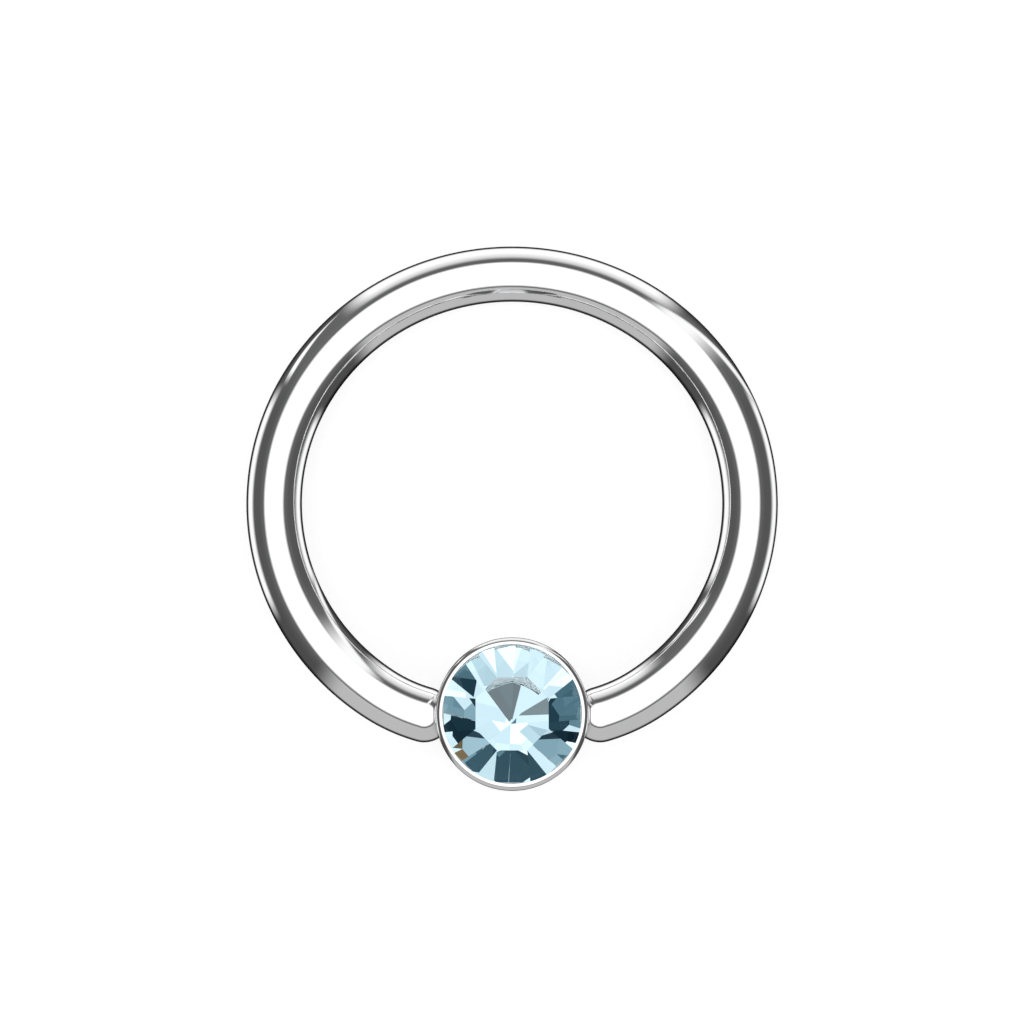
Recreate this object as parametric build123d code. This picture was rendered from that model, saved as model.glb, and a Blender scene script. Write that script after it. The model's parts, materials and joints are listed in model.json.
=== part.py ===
from build123d import *
import math
import os

# Captive bead ring, lying on a surface with its stone upwards. Lengths in mm.
# The wire is bent into an open ring whose two ball-shaped ends sit in dimples
# on the sides of a short cylinder, the bead. The bead turns on them.

# ---- ring wire ----
wire_d = 1.6              # 14 gauge wire
inner_d = 12.0            # clear way across the ring
nose_x = 2.50             # centre of each ball end, from the middle plane
hinge_to_centre = 6.25    # from the line through the two ball ends to the ring's centre
bend_from_deg = 34.0      # where the wire leaves the ring's circle for the tighter end bend

# ---- bead ----
bead_d = 4.34
axis_from_back = 2.35     # flat back to the line of the dimples
axis_from_front = 1.55    # line of the dimples to the top of the rim
back_edge_r = 0.22        # rounding of the back edge
rim_round_r = 0.19        # rounding of the rim, nearly its whole width
rim_open_d = 3.95         # opening of the rim over the stone
lip_land = 0.11           # upright land under the edge of the opening
cup_d = 4.10              # cup under the lip
dimple_play = 0.04        # clear way round each ball end
dimple_edge_r = 0.05      # rounding of the dimple's mouth

# ---- stone ----
girdle_d = 4.04
girdle_h = 0.10
girdle_under_crest = 0.22  # top of the rim down to the top of the girdle
crown_h = 0.70
table_d = 2.236            # across the corners of the eight-sided table
break_girdle_h = 0.036     # height of the narrow crown facets over the girdle
pavilion_h = 1.749         # from the girdle down to the stone's point
point_at = (-0.037, -0.272)  # the point lies off the middle
pavilion_turn_deg = 19.2   # of the back's facets against the crown's
seat_drop = 0.17           # from the girdle down to the top of the conical seat
seat_floor_d = 0.72        # flat floor of the conical seat
seat_floor_z = -0.62       # height of that floor over the line of the dimples

# ---- pose ----
turn_deg = 13.5            # between the ring's plane and the stone's face

R = (inner_d + wire_d) / 2
rw = wire_d / 2
rb = bead_d / 2

# The bead leans out on its rounded back edge and the ring's far side lies on the
# surface. The lean of the bead and the slope of the ring add up to turn_deg.
slope = math.radians(turn_deg) / 2
for _ in range(60):
    lean = math.radians(turn_deg) - slope
    axis_h = ((axis_from_back - back_edge_r) * math.cos(lean)
              + (rb - back_edge_r) * math.sin(lean) + back_edge_r)
    slope = math.asin((axis_h - rw) / (hinge_to_centre + R))
lean_deg = math.degrees(lean)
slope_deg = math.degrees(slope)


# ------------------------------------------------------------------ ring wire
# In the ring's own plane: X along the line through the ball ends, Y to the far side.
def end_bend(start_deg):
    """Radius of the tighter bend that starts at start_deg and meets the ball's centre."""
    a = math.radians(start_deg)
    k = 2 * R - 2 * nose_x * math.sin(a) - 2 * hinge_to_centre * math.cos(a)
    return R - (R * R - nose_x ** 2 - hinge_to_centre ** 2) / k


r_end = end_bend(bend_from_deg)
a0 = math.radians(bend_from_deg)
end_c = ((R - r_end) * math.sin(a0), hinge_to_centre - (R - r_end) * math.cos(a0))
a1 = math.atan2(nose_x - end_c[0], end_c[1])    # angle of the ball about the end bend's centre

joint_r = (R * math.sin(a0), hinge_to_centre - R * math.cos(a0))
mid_a = (a0 + a1) / 2
mid_r = (end_c[0] + r_end * math.sin(mid_a), end_c[1] - r_end * math.cos(mid_a))

bend_r = ThreePointArc((nose_x, 0), mid_r, joint_r)
loop = ThreePointArc(joint_r, (0, hinge_to_centre + R), (-joint_r[0], joint_r[1]))
bend_l = ThreePointArc((-joint_r[0], joint_r[1]), (-mid_r[0], mid_r[1]), (-nose_x, 0))
route = Wire([bend_r, loop, bend_l])

out_dir = Vector(-math.cos(a1), -math.sin(a1), 0)   # way the right-hand end points
section = Plane(origin=(nose_x, 0, 0), z_dir=out_dir) * Circle(rw)
wire = sweep(section, path=route)
for side in (1, -1):
    end_plane = Plane(origin=(side * nose_x, 0, 0),
                      x_dir=(0, 0, 1),
                      z_dir=(side * out_dir.X, out_dir.Y, 0))
    wire += end_plane * Sphere(rw, arc_size1=0, arc_size2=90,
                               align=(Align.CENTER, Align.CENTER, Align.MIN))
ring_wire = wire


# ----------------------------------------------------------------------- bead
# In the bead's own frame: X along the dimples, Z out through the stone.
z_back, z_crest = -axis_from_back, axis_from_front
r_open, r_cup = rim_open_d / 2, cup_d / 2
z_under = z_crest - lip_land
girdle_top = z_crest - girdle_under_crest
girdle_bot = girdle_top - girdle_h
z_seat_top = girdle_bot - seat_drop

profile = Polyline(
    (0, z_back),
    (rb, z_back),
    (rb, z_crest),
    (r_open, z_crest),
    (r_open, z_under),
    (r_cup, z_under),
    (r_cup, z_seat_top),
    (seat_floor_d / 2, seat_floor_z),
    (0, seat_floor_z),
    close=True,
)
half = make_face(Plane.XZ * profile)
bead_body = revolve(half, axis=Axis.Z, revolution_arc=360)
back_edge = bead_body.edges().filter_by(GeomType.CIRCLE).sort_by(Axis.Z)[0]
bead_body = fillet(back_edge, back_edge_r)
rim_edge = [e for e in bead_body.edges().filter_by(GeomType.CIRCLE)
            if abs(e.radius - rb) < 1e-6 and e.center().Z > z_crest - 0.5]
bead_body = fillet(rim_edge, rim_round_r)

for side in (1, -1):
    bead_body -= Pos(side * nose_x, 0, 0) * Sphere(rw + dimple_play)
mouths = [e for e in bead_body.edges()
          if abs(e.center().Z) < 1.0 and abs(e.center().X) > 1.5
          and e.geom_type != GeomType.CIRCLE and e.length > 2]
bead_body = fillet(mouths, dimple_edge_r)


# ---------------------------------------------------------------------- stone
# A round blank cut by planes: table, crown mains on the table's eight sides, a
# narrow facet running out from each table corner, and eight pavilion facets that
# meet at a point.
Rg = girdle_d / 2
corner = table_d / 2
main_tan = crown_h / (Rg - corner * math.cos(math.pi / 8))
break_tan = (crown_h - break_girdle_h) / (Rg - corner)
table_z = girdle_top + crown_h
point = Vector(point_at[0], point_at[1], girdle_bot - pavilion_h)

blank_low = point.Z - 0.2
stone = Pos(0, 0, (table_z + blank_low) / 2) * Cylinder(Rg, table_z - blank_low)


def around(azimuth_deg, r, z):
    a = math.radians(azimuth_deg)
    return Vector(r * math.cos(a), r * math.sin(a), z)


def facet(solid, through, outward):
    """Cuts the blank by the plane through a point and drops what lies beyond it."""
    return split(solid, bisect_by=Plane(origin=through, z_dir=outward), keep=Keep.BOTTOM)


for k in range(8):
    stone = facet(stone, around(45 * k, Rg, girdle_top), around(45 * k, main_tan, 1))
    stone = facet(stone, around(45 * k + 22.5, corner, table_z), around(45 * k + 22.5, break_tan, 1))
    azimuth = 45 * k + pavilion_turn_deg
    rim = around(azimuth, Rg, girdle_bot)
    down = around(azimuth + 90, 1, 0).cross(rim - point)
    stone = facet(stone, rim, down if down.Z < 0 else down * -1)


# --------------------------------------------------------------- put in place
ring_place = Pos(0, 0, axis_h) * Rot(-slope_deg, 0, 0)
bead_place = Pos(0, 0, axis_h) * Rot(lean_deg, 0, 0)
nodes = {
    "ring_wire": ring_place * ring_wire,
    "bead_body": bead_place * bead_body,
    "stone": bead_place * stone,
}

# the box of the whole is centred on the origin, with its lowest point at Z = 0
lows, highs = [], []
for shape in nodes.values():
    b = shape.bounding_box()
    lows.append((b.min.X, b.min.Y, b.min.Z))
    highs.append((b.max.X, b.max.Y, b.max.Z))
low = [min(v) for v in zip(*lows)]
high = [max(v) for v in zip(*highs)]
shift = Pos(-(low[0] + high[0]) / 2, -(low[1] + high[1]) / 2, -low[2])

os.makedirs("parts", exist_ok=True)
for name, shape in nodes.items():
    export_step(shift * shape, f"parts/{name}.step")

size = [high[i] - low[i] for i in range(3)]
hinge = (-(low[0] + high[0]) / 2, -(low[1] + high[1]) / 2, axis_h - low[2])
print("box mm", [round(v, 3) for v in size], "lowest before shift", round(low[2], 4))
print("slope", round(slope_deg, 3), "lean", round(lean_deg, 3), "end bend radius", round(r_end, 3))
print("hinge line through mm", [round(v, 5) for v in hinge])
back = (hinge[0], hinge[1] + axis_from_back * math.sin(lean), hinge[2] - axis_from_back * math.cos(lean))
print("back face centre mm", [round(v, 4) for v in back],
      "normal", [0, round(math.sin(lean), 5), round(-math.cos(lean), 5)])
centre = (hinge[0], hinge[1] + hinge_to_centre * math.cos(slope), hinge[2] - hinge_to_centre * math.sin(slope))
print("ring centre mm", [round(v, 4) for v in centre],
      "ring normal", [0, round(math.sin(slope), 5), round(math.cos(slope), 5)])
far = (hinge[0], hinge[1] + (hinge_to_centre + R) * math.cos(slope), hinge[2] - (hinge_to_centre + R) * math.sin(slope))
print("far side of the wire mm", [round(v, 4) for v in far])
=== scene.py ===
import json
import math

import bmesh
import bpy
import numpy as np
from mathutils import Matrix, Vector


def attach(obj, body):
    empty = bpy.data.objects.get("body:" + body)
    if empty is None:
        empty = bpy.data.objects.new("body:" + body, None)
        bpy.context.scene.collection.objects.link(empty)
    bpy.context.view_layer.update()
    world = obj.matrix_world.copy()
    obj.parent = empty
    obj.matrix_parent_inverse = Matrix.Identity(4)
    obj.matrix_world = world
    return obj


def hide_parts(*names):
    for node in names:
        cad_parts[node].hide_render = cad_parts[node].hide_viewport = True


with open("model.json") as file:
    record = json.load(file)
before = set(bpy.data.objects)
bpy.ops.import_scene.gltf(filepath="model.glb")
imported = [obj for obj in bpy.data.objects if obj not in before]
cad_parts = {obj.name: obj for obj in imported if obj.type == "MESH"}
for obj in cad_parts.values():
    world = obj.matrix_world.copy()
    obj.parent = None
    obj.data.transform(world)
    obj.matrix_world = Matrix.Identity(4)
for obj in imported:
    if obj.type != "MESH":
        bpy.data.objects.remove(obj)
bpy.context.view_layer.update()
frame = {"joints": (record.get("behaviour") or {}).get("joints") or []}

MM = 0.001

# ------------------------------------------------------------ sizes, in mm, as in the CAD
WIRE_D = 1.6
INNER_D = 12.0
NOSE_X = 2.50
HINGE_TO_CENTRE = 6.25
BEND_FROM = math.radians(34.0)

BEAD_D = 4.34
Z_BACK, Z_CREST = -2.35, 1.55
BACK_EDGE_R = 0.22
RIM_ROUND_R = 0.19
R_OPEN, R_CUP = 1.975, 2.05
LIP_LAND = 0.11
DIMPLE_R = 0.84
DIMPLE_EDGE = 0.05

GIRDLE_R = 2.02
GIRDLE_H = 0.10
GIRDLE_UNDER = 0.22
CROWN_H = 0.70
TABLE_CORNER = 1.118
BREAK_H = 0.036
GROUND_H = 0.062
PAVILION_H = 1.749
CULET = (-0.037, -0.272)                    # the stone's point is off its middle
PAVILION_TURN = 19.2                        # of the back's facets against the crown's, in degrees
SEAT_DROP = 0.17
SEAT_FLOOR_R = 0.36
SEAT_FLOOR_Z = -0.62

TURN = math.radians(13.5)

R = (INNER_D + WIRE_D) / 2
RW = WIRE_D / 2
SKIN = 0.005                                # the drawn wire stays this far inside the CAD's faceted mesh
RB = BEAD_D / 2

slope = TURN / 2
for _ in range(60):
    lean = TURN - slope
    axis_h = ((-Z_BACK - BACK_EDGE_R) * math.cos(lean) + (RB - BACK_EDGE_R) * math.sin(lean) + BACK_EDGE_R)
    slope = math.asin((axis_h - RW) / (HINGE_TO_CENTRE + R))

joint = frame["joints"][0]
HINGE = Vector(joint["pos_m"])
RING_M = Matrix.Translation(HINGE) @ Matrix.Rotation(-slope, 4, "X") @ Matrix.Scale(MM, 4)
BEAD_M = Matrix.Translation(HINGE) @ Matrix.Rotation(lean, 4, "X") @ Matrix.Scale(MM * 0.9985, 4)


# ------------------------------------------------------------ mesh helpers
def mesh_object(name, verts, faces, place, uvs=None, sharp=None):
    me = bpy.data.meshes.new(name)
    me.from_pydata([tuple(v) for v in verts], [], faces)
    me.validate()
    if uvs is not None:
        layer = me.uv_layers.new(name="mm")
        flat = [c for f in uvs for uv in f for c in uv]
        layer.data.foreach_set("uv", flat)
    me.transform(place)
    me.polygons.foreach_set("use_smooth", [True] * len(me.polygons))
    if sharp is not None:
        me.set_sharp_from_angle(angle=math.radians(sharp))
    me.update()
    ob = bpy.data.objects.new(name, me)
    bpy.context.scene.collection.objects.link(ob)
    return ob


def rounded(points, radii, seg=6):
    """An open line of points (r, z) with each inner corner rounded to its radius."""
    out = [np.array(points[0], float)]
    for i in range(1, len(points) - 1):
        p0, p, p1 = (np.array(q, float) for q in points[i - 1:i + 2])
        rad = radii[i]
        if not rad:
            out.append(p)
            continue
        a, b = (p0 - p) / np.linalg.norm(p0 - p), (p1 - p) / np.linalg.norm(p1 - p)
        half = math.acos(float(np.clip(a @ b, -1, 1))) / 2
        cut = rad / math.tan(half)
        centre = p + (a + b) / np.linalg.norm(a + b) * rad / math.sin(half)
        s, e = p + a * cut - centre, p + b * cut - centre
        turn = math.atan2(s[0] * e[1] - s[1] * e[0], float(s @ e))
        for k in range(seg + 1):
            t = turn * k / seg
            c, d = math.cos(t), math.sin(t)
            out.append(centre + np.array([s[0] * c - s[1] * d, s[0] * d + s[1] * c]))
    out.append(np.array(points[-1], float))
    return out


# ------------------------------------------------------------ ring wire
def ring_wire_mesh():
    k = 2 * R - 2 * NOSE_X * math.sin(BEND_FROM) - 2 * HINGE_TO_CENTRE * math.cos(BEND_FROM)
    r_end = R - (R * R - NOSE_X ** 2 - HINGE_TO_CENTRE ** 2) / k
    ec = np.array([(R - r_end) * math.sin(BEND_FROM), HINGE_TO_CENTRE - (R - r_end) * math.cos(BEND_FROM)])
    a1 = math.atan2(NOSE_X - ec[0], ec[1])
    line = []                                  # centre, way along, length so far
    n_end, n_loop = 40, 420
    for i in range(n_end):                     # right-hand end bend, from the ball
        a = a1 + (BEND_FROM - a1) * i / n_end
        line.append((ec[0] + r_end * math.sin(a), ec[1] - r_end * math.cos(a), a))
    for i in range(n_loop + 1):
        a = BEND_FROM + (2 * math.pi - 2 * BEND_FROM) * i / n_loop
        line.append((R * math.sin(a), HINGE_TO_CENTRE - R * math.cos(a), a))
    for i in range(1, n_end + 1):
        a = BEND_FROM + (a1 - BEND_FROM) * i / n_end
        line.append((-(ec[0] + r_end * math.sin(a)), ec[1] - r_end * math.cos(a), 2 * math.pi - a))
    m, rad = 80, RW - SKIN
    rings, along, s = [], [], 0.0
    for i, (x, y, a) in enumerate(line):
        if i:
            s += math.hypot(x - line[i - 1][0], y - line[i - 1][1])
        rings.append((np.array([x, y, 0.0]), np.array([math.sin(a), -math.cos(a), 0.0]), rad, 0.0))
        along.append(s)
    # the two ball ends: rings that shrink to a point
    n_cap = 22
    def cap(x, y, a, way):
        out, t = np.array([math.sin(a), -math.cos(a), 0.0]), np.array([math.cos(a), math.sin(a), 0.0]) * way
        c = np.array([x, y, 0.0])
        return [(c + t * rad * math.sin(q), out, rad * math.cos(q), q) for q in
                [math.pi / 2 * i / n_cap for i in range(1, n_cap)]], c + t * rad
    first, tip0 = cap(*line[0], -1)
    last, tip1 = cap(*line[-1], 1)
    rings = first[::-1] + rings + last
    along = [-RW * f[3] for f in first[::-1]] + along + [along[-1] + RW * f[3] for f in last]
    verts, up = [], np.array([0.0, 0.0, 1.0])
    for c, out, r, _ in rings:
        for j in range(m):
            q = 2 * math.pi * j / m
            verts.append(c + r * (out * math.cos(q) + up * math.sin(q)))
    n = len(rings)
    verts += [tip0, tip1]
    faces, uvs = [], []
    for i in range(n - 1):
        for j in range(m):
            k = (j + 1) % m
            faces.append((i * m + j, (i + 1) * m + j, (i + 1) * m + k, i * m + k))
            v0, v1 = 2 * math.pi * RW * j / m, 2 * math.pi * RW * (j + 1) / m
            uvs.append(((along[i], v0), (along[i + 1], v0), (along[i + 1], v1), (along[i], v1)))
    for j in range(m):
        k = (j + 1) % m
        v0, v1 = 2 * math.pi * RW * j / m, 2 * math.pi * RW * (j + 1) / m
        faces.append((len(verts) - 2, j, k))
        uvs.append(((along[0] - 0.05, v0), (along[0], v0), (along[0], v1)))
        b = (n - 1) * m
        faces.append((len(verts) - 1, b + k, b + j))
        uvs.append(((along[-1] + 0.05, v0), (along[-1], v1), (along[-1], v0)))
    return mesh_object("polished_wire", verts, faces, RING_M, uvs)


# ------------------------------------------------------------ bead
def bead_mesh():
    z_under = Z_CREST - LIP_LAND
    g_bot = Z_CREST - GIRDLE_UNDER - GIRDLE_H
    z_seat = g_bot - SEAT_DROP
    z_floor = SEAT_FLOOR_Z
    lower = rounded([(0, Z_BACK), (RB, Z_BACK), (RB, -1.2)], [0, BACK_EDGE_R, 0], 12)
    lower = lower[:1] + [np.array([r, Z_BACK]) for r in (0.6, 1.2, 1.7, 1.9)] + lower[1:-1]
    upper = (rounded([(RB, 1.2), (RB, Z_CREST), (R_OPEN + 0.0045, Z_CREST)], [0, RIM_ROUND_R, 0], 24)[1:-1]
             + rounded([(R_OPEN + 0.0045, Z_CREST), (R_OPEN, Z_CREST - 0.006), (R_OPEN, z_under), (R_CUP, z_under),
                        (R_CUP, z_seat), (SEAT_FLOOR_R, z_floor), (0, z_floor)],
                       [0, 0.004, 0.006, 0.006, 0.01, 0.02, 0], 4))
    n_th, half_w, n_win, z_win = 240, 20, 40, 1.1
    wall = [-1.9, -1.6, -1.3] + [-z_win + 2 * z_win * i / n_win for i in range(n_win + 1)] + [1.2, 1.3]
    prof = [(p[0], p[1]) for p in lower] + [(RB, z) for z in wall] + [(p[0], p[1]) for p in upper]
    w0 = len(lower) + 3
    w1 = w0 + n_win
    verts, faces, uvs = [], [], []
    path = [0.0]
    for i in range(1, len(prof)):
        path.append(path[-1] + math.dist(prof[i], prof[i - 1]))

    def vid(i, j):
        return i * n_th + j % n_th

    for r, z in prof:
        for j in range(n_th):
            a = 2 * math.pi * j / n_th
            verts.append((max(r, 1e-9) * math.cos(a), max(r, 1e-9) * math.sin(a), z))

    def in_window(i, j):
        if not w0 <= i < w1:
            return False
        return any((j - c + half_w) % n_th < 2 * half_w for c in (0, n_th // 2))

    for i in range(len(prof) - 1):
        for j in range(n_th):
            if in_window(i, j):
                continue
            quad = (vid(i, j), vid(i, j + 1), vid(i + 1, j + 1), vid(i + 1, j))
            u0, u1 = 2 * math.pi * RB * j / n_th, 2 * math.pi * RB * (j + 1) / n_th
            faces.append(quad)
            uvs.append(((u0, path[i]), (u1, path[i]), (u1, path[i + 1]), (u0, path[i + 1])))

    # a dimple with a softly rounded mouth, sewn to the window's edge
    for side, c in ((1, 0), (-1, n_th // 2)):
        edge = ([(w0, j) for j in range(-half_w, half_w)] + [(i, half_w) for i in range(w0, w1)]
                + [(w1, j) for j in range(half_w, -half_w, -1)] + [(i, -half_w) for i in range(w1, w0, -1)])
        rows = []
        for i, j in edge:
            a = 2 * math.pi * j / n_th
            y, z = RB * math.sin(a), prof[i][1]
            rho_p = math.hypot(y, z)
            cy, cz = y / rho_p, z / rho_p

            def wall_x(rho):
                return math.sqrt(RB * RB - (rho * cy) ** 2)

            def dip_x(rho):
                return NOSE_X - math.sqrt(max(DIMPLE_R ** 2 - rho * rho, 0))

            lo, hi = 0.5, 0.839
            for _ in range(50):
                mid = (lo + hi) / 2
                lo, hi = (mid, hi) if dip_x(mid) < wall_x(mid) else (lo, mid)
            rho_m = lo
            row = [(rho, dip_x(rho)) for rho in [(rho_m - DIMPLE_EDGE) * t / 16 for t in range(1, 17)]]
            p0 = np.array(row[-1])
            p1 = np.array((rho_m, wall_x(rho_m)))
            p2 = np.array((rho_m + DIMPLE_EDGE, wall_x(rho_m + DIMPLE_EDGE)))
            for t in np.linspace(0, 1, 8)[1:]:
                row.append(tuple((1 - t) ** 2 * p0 + 2 * t * (1 - t) * p1 + t * t * p2))
            for t in np.linspace(0, 1, 10)[1:]:
                rho = p2[0] + (rho_p - p2[0]) * t
                row.append((rho, wall_x(rho)))
            rows.append([(x, rho * cy, rho * cz) for rho, x in row])
        base, n_e, n_r = len(verts), len(rows), len(rows[0])
        for row in rows:
            verts += [(side * x, side * y, z) for x, y, z in row]
        verts.append((side * (NOSE_X - DIMPLE_R), 0, 0))
        tip = len(verts) - 1
        for e in range(n_e):
            f = (e + 1) % n_e
            faces.append((tip, base + e * n_r, base + f * n_r))
            uvs.append(((0, 0), (rows[e][0][1], rows[e][0][2]), (rows[f][0][1], rows[f][0][2])))
            for k in range(n_r - 1):
                ids = (base + e * n_r + k, base + e * n_r + k + 1, base + f * n_r + k + 1, base + f * n_r + k)
                faces.append(ids)
                uvs.append(tuple((rows[q][w][1], rows[q][w][2]) for q, w in ((e, k), (e, k + 1), (f, k + 1), (f, k))))
    ob = mesh_object("bezel_bead", verts, faces, Matrix.Identity(4), uvs)
    bm = bmesh.new()
    bm.from_mesh(ob.data)
    bmesh.ops.remove_doubles(bm, verts=bm.verts, dist=2e-5)
    bmesh.ops.dissolve_degenerate(bm, edges=bm.edges, dist=1e-6)
    bmesh.ops.recalc_face_normals(bm, faces=bm.faces)
    bm.to_mesh(ob.data)
    bm.free()
    ob.data.transform(BEAD_M)
    ob.data.update()
    return ob


# ------------------------------------------------------------ stone
def stone_mesh():
    """A round blank cut by planes: table, eight crown mains, a narrow facet out from each
    table corner, and eight pavilion facets that meet at a point off the middle."""
    g_top = Z_CREST - GIRDLE_UNDER
    g_bot = g_top - GIRDLE_H
    z_table = g_top + CROWN_H
    main_t = CROWN_H / (GIRDLE_R - TABLE_CORNER * math.cos(math.pi / 8))
    break_t = (CROWN_H - BREAK_H) / (GIRDLE_R - TABLE_CORNER)
    point = Vector((*CULET, g_bot - PAVILION_H))

    def round_at(az, r, z):
        return Vector((r * math.cos(math.radians(az)), r * math.sin(math.radians(az)), z))

    cuts = [(Vector((0, 0, z_table)), Vector((0, 0, 1)))]
    for k in range(8):
        cuts.append((round_at(45 * k, GIRDLE_R, g_top), round_at(45 * k, main_t, 1)))
        cuts.append((round_at(45 * k + 22.5, TABLE_CORNER, z_table), round_at(45 * k + 22.5, break_t, 1)))
        rim = round_at(45 * k + PAVILION_TURN, GIRDLE_R, g_bot)
        no = (rim - point).cross(round_at(45 * k + PAVILION_TURN + 90, 1, 0))
        cuts.append((rim, no if no.z < 0 else -no))
    bm = bmesh.new()
    bmesh.ops.create_cone(bm, cap_ends=True, segments=192, radius1=GIRDLE_R, radius2=GIRDLE_R, depth=6)
    for co, no in cuts:
        geom = bm.verts[:] + bm.edges[:] + bm.faces[:]
        cut = bmesh.ops.bisect_plane(bm, geom=geom, dist=1e-6, plane_co=co, plane_no=no.normalized(), clear_outer=True)
        edges = [e for e in cut["geom_cut"] if isinstance(e, bmesh.types.BMEdge)]
        if edges:
            bmesh.ops.contextual_create(bm, geom=edges)
    # the edge is left ground a hair past the girdle, where the lip covers it
    geom = bm.verts[:] + bm.edges[:] + bm.faces[:]
    bmesh.ops.bisect_plane(bm, geom=geom, dist=1e-6, plane_co=(0, 0, g_top + GROUND_H), plane_no=(0, 0, 1))
    bmesh.ops.remove_doubles(bm, verts=bm.verts, dist=1e-5)
    bmesh.ops.recalc_face_normals(bm, faces=bm.faces)
    for f in bm.faces:
        f.smooth = False
        crown = f.normal.z > 0.1 and f.calc_center_median().z > g_top + GROUND_H
        f.material_index = 0 if crown else 1 if f.normal.z < -0.1 else 2
    me = bpy.data.meshes.new("cut_stone")
    bm.to_mesh(me)
    bm.free()
    me.transform(BEAD_M)
    ob = bpy.data.objects.new("cut_stone", me)
    bpy.context.scene.collection.objects.link(ob)
    return ob


# ------------------------------------------------------------ materials
def new_material(name):
    m = bpy.data.materials.new(name)
    m.use_nodes = True
    nt = m.node_tree
    return m, nt, nt.nodes["Principled BSDF"]


def link(nt, a, b):
    nt.links.new(a, b)


def noise(nt, vec, scale, detail=3.0, rough=0.5):
    n = nt.nodes.new("ShaderNodeTexNoise")
    n.inputs["Scale"].default_value = scale
    n.inputs["Detail"].default_value = detail
    n.inputs["Roughness"].default_value = rough
    if vec is not None:
        link(nt, vec, n.inputs["Vector"])
    return n


def ranged(nt, value, a, b, lo, hi):
    n = nt.nodes.new("ShaderNodeMapRange")
    n.inputs["From Min"].default_value = a
    n.inputs["From Max"].default_value = b
    n.inputs["To Min"].default_value = lo
    n.inputs["To Max"].default_value = hi
    link(nt, value, n.inputs["Value"])
    return n.outputs["Result"]


def steel(name, stretch):
    """Mirror polished surgical steel: faint buffing lines along the work, a soft cloudiness."""
    m, nt, p = new_material(name)
    p.inputs["Metallic"].default_value = 1.0
    uv = nt.nodes.new("ShaderNodeTexCoord")
    mp = nt.nodes.new("ShaderNodeMapping")
    mp.inputs["Scale"].default_value = stretch
    link(nt, uv.outputs["UV"], mp.inputs["Vector"])
    lines = noise(nt, mp.outputs["Vector"], 1.0, 4.0, 0.6)
    cloud = noise(nt, uv.outputs["Object"], 900.0, 2.0)
    mix = nt.nodes.new("ShaderNodeMix")
    mix.data_type = "RGBA"
    mix.inputs["A"].default_value = (0.86, 0.86, 0.87, 1)
    mix.inputs["B"].default_value = (0.92, 0.92, 0.925, 1)
    link(nt, cloud.outputs["Fac"], mix.inputs["Factor"])
    link(nt, mix.outputs["Result"], p.inputs["Base Color"])
    link(nt, ranged(nt, lines.outputs["Fac"], 0.3, 0.7, 0.035, 0.075), p.inputs["Roughness"])
    bump = nt.nodes.new("ShaderNodeBump")
    bump.inputs["Strength"].default_value = 0.02
    bump.inputs["Distance"].default_value = 0.00002
    link(nt, lines.outputs["Fac"], bump.inputs["Height"])
    link(nt, bump.outputs["Normal"], p.inputs["Normal"])
    return m


def clouded(nt, p, scale, dark, light):
    """A faint unevenness of tone, as in a coating or in drawn glass."""
    co = nt.nodes.new("ShaderNodeTexCoord").outputs["Object"]
    cloud = noise(nt, co, scale, 3.0, 0.55)
    mix = nt.nodes.new("ShaderNodeMix")
    mix.data_type = "RGBA"
    mix.inputs["A"].default_value = (*dark, 1)
    mix.inputs["B"].default_value = (*light, 1)
    link(nt, ranged(nt, cloud.outputs["Fac"], 0.3, 0.7, 0.0, 1.0), mix.inputs["Factor"])
    link(nt, mix.outputs["Result"], p.inputs["Base Color"])
    return cloud


def crystal():
    m, nt, p = new_material("aqua_crystal")
    p.inputs["Transmission Weight"].default_value = 1.0
    p.inputs["IOR"].default_value = 1.56
    p.inputs["Specular Tint"].default_value = (0.3, 0.3, 0.3, 1)
    p.inputs["Roughness"].default_value = 0.0
    clouded(nt, p, 700.0, (0.915, 0.98, 1.0), (0.945, 0.99, 1.0))
    return m


def foil():
    """The mirror coating behind the stone."""
    m, nt, p = new_material("foiled_facets")
    p.inputs["Metallic"].default_value = 1.0
    p.inputs["Roughness"].default_value = 0.0
    clouded(nt, p, 1100.0, (0.895, 0.98, 1.0), (0.925, 0.99, 1.0))
    return m


def ground_edge():
    m, nt, p = new_material("ground_girdle")
    cloud = clouded(nt, p, 3000.0, (0.76, 0.92, 0.96), (0.84, 0.96, 1.0))
    link(nt, ranged(nt, cloud.outputs["Fac"], 0.3, 0.7, 0.52, 0.68), p.inputs["Roughness"])
    return m


# ------------------------------------------------------------ pieces
wire = ring_wire_mesh()
wire.data.materials.append(steel("polished_wire_steel", (1.2, 26.0, 1.0)))
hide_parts("ring_wire")
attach(wire, "ring")

bead = bead_mesh()
bead.data.materials.append(steel("polished_bead_steel", (1.5, 30.0, 1.0)))
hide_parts("bead_body")
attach(bead, "bead")

stone = stone_mesh()
stone.data.materials.append(crystal())
stone.data.materials.append(foil())
stone.data.materials.append(ground_edge())
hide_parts("stone")
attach(stone, "bead")


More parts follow.
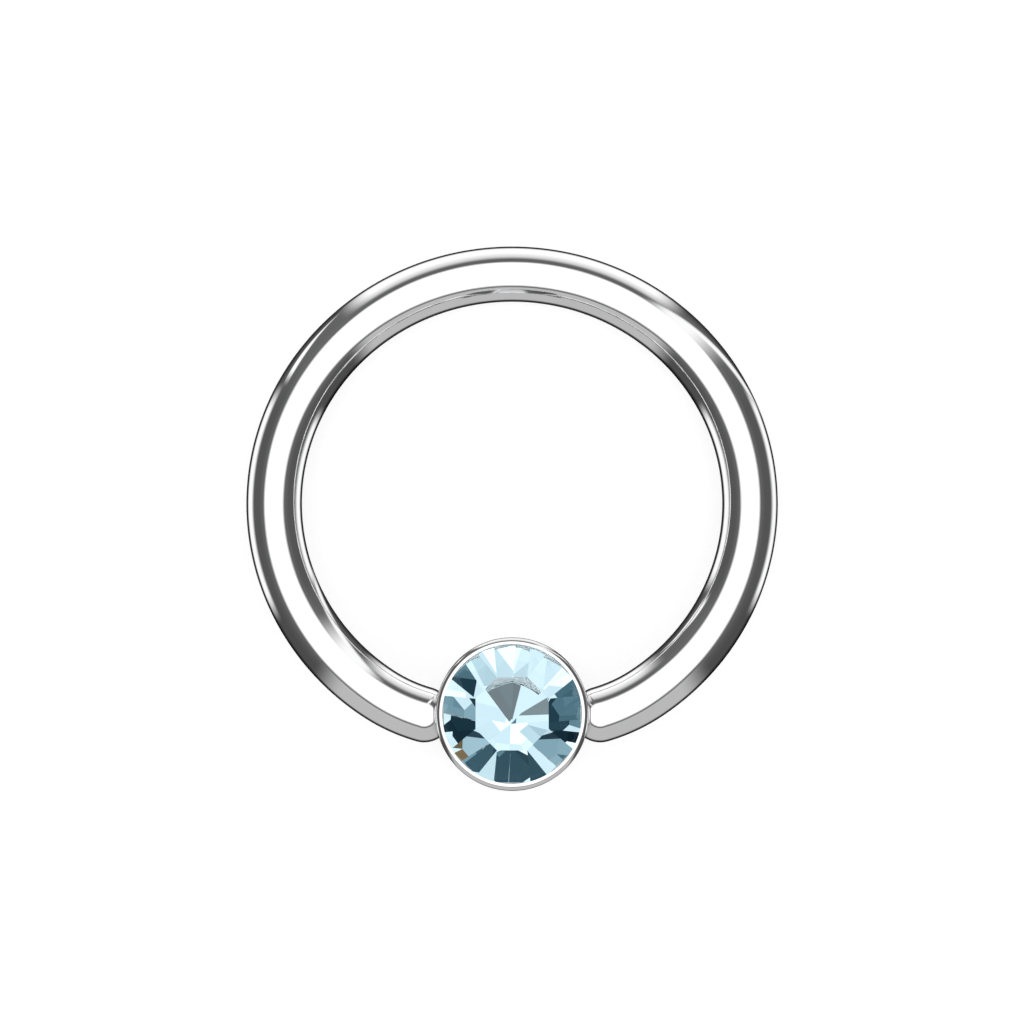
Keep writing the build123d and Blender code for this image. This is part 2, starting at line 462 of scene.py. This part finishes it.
# ------------------------------------------------------------ camera
CAM_TILT = math.radians(7.55)
PX = 34.99                                  # picture points to a millimetre at the ring's centre
DIST = 280.0
view = Vector((0, -math.sin(CAM_TILT), math.cos(CAM_TILT)))
up = Vector((0, math.cos(CAM_TILT), math.sin(CAM_TILT)))
side = Vector((1, 0, 0))
ring_c = RING_M @ Vector((0, HINGE_TO_CENTRE, 0))
target = ring_c + (side * (-0.10 / PX) - up * (9.75 / PX)) * MM
cam_data = bpy.data.cameras.new("camera")
cam_data.sensor_width = 36.0
cam_data.lens = 36.0 * DIST / (1024 / PX)
cam_data.clip_start = 0.001
cam_data.clip_end = 50.0
cam = bpy.data.objects.new("camera", cam_data)
bpy.context.scene.collection.objects.link(cam)
cam.matrix_world = Matrix.Translation(target + view * DIST * MM) @ Matrix((
    (side.x, up.x, view.x, 0), (side.y, up.y, view.y, 0), (side.z, up.z, view.z, 0), (0, 0, 0, 1)))
bpy.context.scene.camera = cam

# ------------------------------------------------------------ floor
bm = bmesh.new()
bmesh.ops.create_grid(bm, x_segments=8, y_segments=8, size=3.0)
me = bpy.data.meshes.new("floor")
bm.to_mesh(me)
bm.free()
floor = bpy.data.objects.new("floor", me)
bpy.context.scene.collection.objects.link(floor)
m, nt, p = new_material("floor_white")
p.inputs["Base Color"].default_value = (0.42, 0.42, 0.42, 1)
p.inputs["Roughness"].default_value = 0.7
p.inputs["Emission Color"].default_value = (1, 1, 1, 1)      # a white sweep lit from behind, with faint shadows
p.inputs["Emission Strength"].default_value = 0.72
me.materials.append(m)
floor.visible_glossy = False                # the steel and the stone mirror the tent alone
floor.visible_transmission = False


# ------------------------------------------------------------ studio
class Num:
    """A number in a node tree, so that the sums below read as sums."""

    def __init__(self, nt, src):
        self.nt, self.src = nt, src

    def op(self, kind, *more):
        n = self.nt.nodes.new("ShaderNodeMath")
        n.operation = kind
        for i, v in enumerate((self,) + more):
            if isinstance(v, Num):
                link(self.nt, v.src, n.inputs[i])
            else:
                n.inputs[i].default_value = v
        return Num(self.nt, n.outputs[0])

    def __add__(self, v):
        return self.op("ADD", v)

    __radd__ = __add__

    def __mul__(self, v):
        return self.op("MULTIPLY", v)

    __rmul__ = __mul__

    def __sub__(self, v):
        return self.op("SUBTRACT", v)

    def __rsub__(self, v):
        return self * -1.0 + v

    def __neg__(self):
        return self * -1.0

    def size(self):
        return self.op("ABSOLUTE")

    def most(self, v):
        return self.op("MAXIMUM", v)

    def rise(self, a, b):
        """0 below a, 1 above b, smooth between."""
        n = self.nt.nodes.new("ShaderNodeMapRange")
        n.interpolation_type = "SMOOTHSTEP"
        link(self.nt, self.src, n.inputs["Value"])
        for key, v in (("From Min", a), ("From Max", b), ("To Min", 0.0), ("To Max", 1.0)):
            if isinstance(v, Num):
                link(self.nt, v.src, n.inputs[key])
            else:
                n.inputs[key].default_value = v
        return Num(self.nt, n.outputs["Result"])

    def fall(self, a, b):
        return 1.0 - self.rise(a, b)

    def window(self, a, b, soft):
        return self.rise(a - soft, a + soft) * self.fall(b - soft, b + soft)


# dark flags before the light that the stone throws back: how far from the tent's axis and in
# which direction round it, radius, all in degrees, and what is left of the light
DARK = [
    (9.4, 56, 1.1, 0.075), (11.8, 122, 1.1, 0.075), (3.9, 117, 0.6, 0.07), (4.5, 144, 0.5, 0.02),
    (7.9, 16, 0.8, 0.09), (7.6, 340, 0.7, 0.03), (10.1, 199, 0.8, 0.05), (5.3, 58, 0.6, 0.02),
    (10.3, 139, 0.6, 0.045), (18.3, 145, 1.2, 0.04), (17.8, 189, 1.0, 0.02), (22.2, 313, 1.0, 0.01),
]
HALF = [
    (18.2, 22, 1.0, 0.18), (23.3, 359, 1.0, 0.12), (24.6, 45, 0.6, 0.19), (22.8, 171, 0.7, 0.165),
    (29.4, 66, 0.5, 0.15), (24.6, 25, 0.7, 0.10), (24.8, 293, 1.0, 0.25), (25.8, 195, 1.0, 0.2),
    (10.8, 99, 0.8, 0.43), (17.0, 337, 1.0, 0.46), (12.6, 36, 0.8, 0.4), (28.5, 22, 0.6, 0.4),
    (28.4, 108, 0.7, 0.24), (22.4, 129, 0.8, 0.3), (13.1, 78, 0.9, 0.8), (5.8, 120, 0.6, 0.62),
    (4.2, 96, 0.9, 0.8), (10.7, 76, 0.8, 0.86), (20.5, 104, 1.3, 0.8), (24.3, 89, 1.0, 0.74),
]
GREY = [(8.2, 356, 0.8, 0.21), (1.8, 274, 0.8, 0.24), (6.6, 306, 0.8, 0.21), (4.9, 157, 0.5, 0.28)]
AMBER = [(28.2, 152, 0.8, 0.12), (14.7, 196, 0.8, 0.12)]


def studio():
    """A round light tent: a broad soft box overhead, a dark gap round it, and cards in the wall.

    deg is the angle from the tent's axis. way is the ring's own azimuth, 0 at its far side,
    of the spot on a wire that mirrors that part of the tent, so that the cards' ends lie
    square across the wire.
    """
    world = bpy.data.worlds.new("studio")
    bpy.context.scene.world = world
    world.use_nodes = True
    nt = world.node_tree
    nt.nodes.clear()
    co = nt.nodes.new("ShaderNodeTexCoord").outputs["Generated"]

    def along(v):
        n = nt.nodes.new("ShaderNodeVectorMath")
        n.operation = "DOT_PRODUCT"
        n.inputs[1].default_value = v
        link(nt, co, n.inputs[0])
        return Num(nt, n.outputs["Value"])

    dx, dy, dz = along(side), along(up), along(view)
    deg = dz.op("ARCCOSINE") * (180 / math.pi)
    lay = slope + CAM_TILT
    way = dx.op("ARCTAN2", dy * math.cos(lay) - (dz + 1.0) * math.sin(lay)) * (180 / math.pi)
    off = way.size()

    box = deg.fall(43.0, 56.0) * 1.35
    wall = 0.135 - deg.rise(54.0, 72.0) * 0.035 - deg.rise(118.0, 150.0) * 0.075
    wall = wall - off.window(114.0, 137.0, 4.0) * deg.rise(66.0, 96.0) * 0.02
    wall = wall + off.window(36.0, 62.0, 8.0) * deg.window(58.0, 110.0, 8.0) * 0.04
    top = way.window(-38.0, 38.0, 5.0) * deg.rise(62.0, 80.0) * deg.fall(128.0, 145.0)
    top = top * (deg.rise(72.0, 104.0) * 0.42 + 0.62)
    right = way.window(66.0, 113.5, 4.0) * deg.rise(97.0, 119.0) * deg.fall(132.0, 145.0)
    left = way.window(-115.0, -66.0, 4.0) * deg.rise(94.0, 112.0) * deg.fall(130.0, 142.0)
    low = off.rise(131.0, 140.0) * deg.rise(55.0, 60.0) * deg.fall(128.0, 142.0) * 0.44
    # slanting strips that join the overhead light to the cards at the sides
    over = deg - (way * 2.6 - 40.0)
    slant = over.size().fall(5.0, 19.0).most(over.fall(0.0, 12.0) * way.fall(45.0, 58.0)) * way.window(36.0, 68.0, 4.0) * 0.95
    half = (-way).rise(43.0, 57.0) * 9.0 + 1.0
    slant_l = ((deg - (way * 0.95 + 156.9)).size() - half).fall(-3.0, 4.0) * way.window(-61.0, -43.0, 2.5)
    steel_light = (wall + top.most(right).most(left).most(low).most(slant).most(slant_l)).most(box)

    # what the stone throws back: a pale box overhead, brightest to the left, with small flags before it
    flat = deg * (1.0 - dz * dz).most(1e-8).op("POWER", -0.5)
    u, v = dx * flat, dy * flat
    spot = nt.nodes.new("ShaderNodeCombineXYZ")
    link(nt, u.src, spot.inputs[0])
    link(nt, v.src, spot.inputs[1])

    def dimmed(light, flags):
        for far, round_to, rad, left_over in flags:
            n = nt.nodes.new("ShaderNodeVectorMath")
            n.operation = "DISTANCE"
            link(nt, spot.outputs[0], n.inputs[0])
            n.inputs[1].default_value = (far * math.cos(math.radians(round_to)), far * math.sin(math.radians(round_to)), 0)
            light = light * (Num(nt, n.outputs["Value"]).rise(rad - 0.3, rad + 0.3) * (1.0 - left_over) + left_over)
        return light

    gem = 0.96 + (u * 0.9 + v * 0.6).op("SINE") * 0.07 + (v - u * 0.8).rise(28.0, 33.0) * 0.4 + u.rise(19.5, 21.0) * 0.27
    gem = gem - v.window(12.0, 18.0, 1.5) * u.window(-7.0, 7.0, 1.5) * 0.25
    gem = gem * (deg.fall(34.0, 41.0) * 0.965 + 0.035 + deg.rise(52.0, 64.0) * 0.42)
    gem = dimmed(gem, DARK + HALF) + 0.006

    path = nt.nodes.new("ShaderNodeLightPath")

    def background(strength=None, tones=None):
        n = nt.nodes.new("ShaderNodeBackground")
        if strength is not None:
            link(nt, strength.src, n.inputs["Strength"])
        if tones:
            rgb = nt.nodes.new("ShaderNodeCombineColor")
            for i, t in enumerate(tones):
                link(nt, t.src, rgb.inputs[i])
            link(nt, rgb.outputs["Color"], n.inputs["Color"])
        else:
            n.inputs["Color"].default_value = (1, 1, 1, 1)
        return n.outputs["Background"]

    def choose(factor, plain, other):
        n = nt.nodes.new("ShaderNodeMixShader")
        link(nt, factor, n.inputs[0])
        link(nt, plain, n.inputs[1])
        link(nt, other, n.inputs[2])
        return n.outputs[0]

    # light that the ground edge has scattered gets a pale fill of its own
    fill = Num(nt, path.outputs["Diffuse Depth"]).rise(0.4, 0.6)
    gem = gem * (1.0 - fill) + fill * 2.4
    grey, amber = dimmed(deg * 0.0 + 1.0, GREY), dimmed(deg * 0.0 + 1.0, AMBER)
    stone_light = background(tones=[gem.op("POWER", k) * lift * grey * amber.op("POWER", warm)
                                    for k, lift, warm in ((1.3, 0.96, 0.75), (1.0, 1.03, 1.0), (0.9, 1.09, 1.35))])
    mirrored = choose(path.outputs["Is Transmission Ray"], background(steel_light), stone_light)
    out = nt.nodes.new("ShaderNodeOutputWorld")
    link(nt, choose(path.outputs["Is Camera Ray"], mirrored, background()), out.inputs["Surface"])
    world.cycles.sampling_method = "NONE"


studio()
bpy.context.scene.view_settings.view_transform = "Standard"
bpy.context.scene.view_settings.look = "None"
